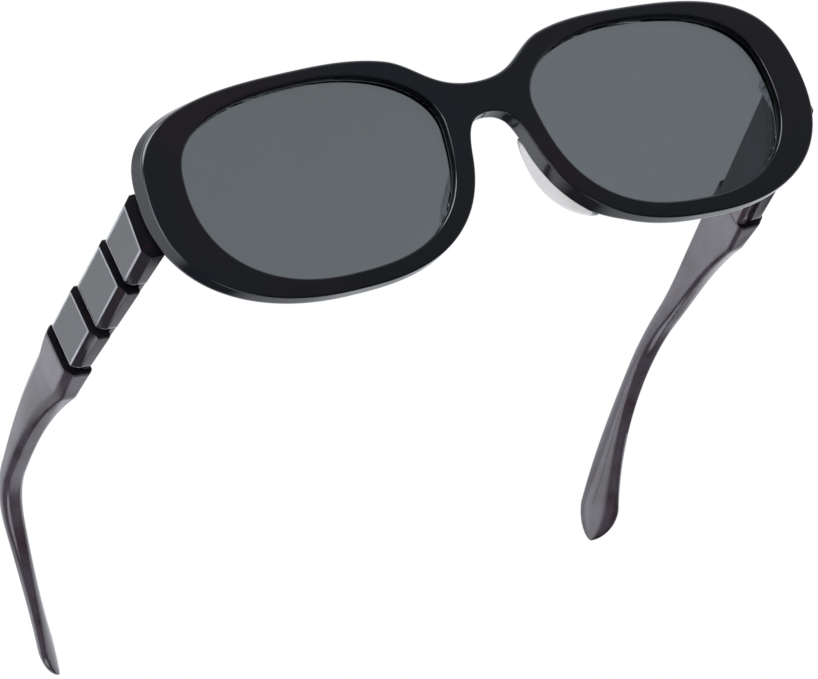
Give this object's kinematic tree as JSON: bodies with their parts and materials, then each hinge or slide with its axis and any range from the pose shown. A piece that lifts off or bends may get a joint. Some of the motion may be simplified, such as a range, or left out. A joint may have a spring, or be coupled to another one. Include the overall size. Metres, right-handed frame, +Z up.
{
  "type": "sunglasses",
  "caption": "Sunglasses with a thick oval one-piece front, grey lenses, clear glued nose pads and folding temples with sculpted blocks behind the hinges.",
  "frame": {"origin": "centre of the bounding box in X and Y, on the surface the sunglasses stand on, at rest on the lower edges of both rims and on both temple tips", "axes": "+X to the wearer's left, +Y to the back along the temples, +Z up"},
  "size_m": [0.1576, 0.1412, 0.0444],
  "materials": {
    "front_acetate": "polished dark smoke acetate with a warm tint, nearly black in bulk",
    "temple_acetate": "polished translucent lavender grey acetate with faint streaks",
    "lens_grey": "neutral grey see-through sun lens, polished, no mirror coating",
    "clear_acetate": "clear polished acetate",
    "steel": "bright hinge metal and core wire"
  },
  "bodies": {
    "front": {"front_frame": "front_acetate", "right_lens": "lens_grey", "left_lens": "lens_grey", "right_nose_pad": "clear_acetate", "left_nose_pad": "clear_acetate", "right_front_leaf": "steel", "left_front_leaf": "steel", "right_hinge_screw": "steel", "left_hinge_screw": "steel"},
    "right_temple": {"right_temple": "temple_acetate", "right_temple_leaf": "steel", "right_core_wire": "steel", "right_front_block": "temple_acetate", "right_middle_block": "temple_acetate", "right_rear_block": "temple_acetate"},
    "left_temple": {"left_temple": "temple_acetate", "left_temple_leaf": "steel", "left_core_wire": "steel", "left_front_block": "temple_acetate", "left_middle_block": "temple_acetate", "left_rear_block": "temple_acetate"}
  },
  "joints": [
    {"name": "left_temple_fold", "type": "hinge", "parent": "front", "child": "left_temple", "pos_m": [0.066, -0.05769, 0.0241], "axis": [0, -0.0062, 1], "range_deg": [0, 87]},
    {"name": "right_temple_fold", "type": "hinge", "parent": "front", "child": "right_temple", "pos_m": [-0.066, -0.05769, 0.0241], "axis": [0, 0.0062, -1], "range_deg": [0, 76]}
  ]
}
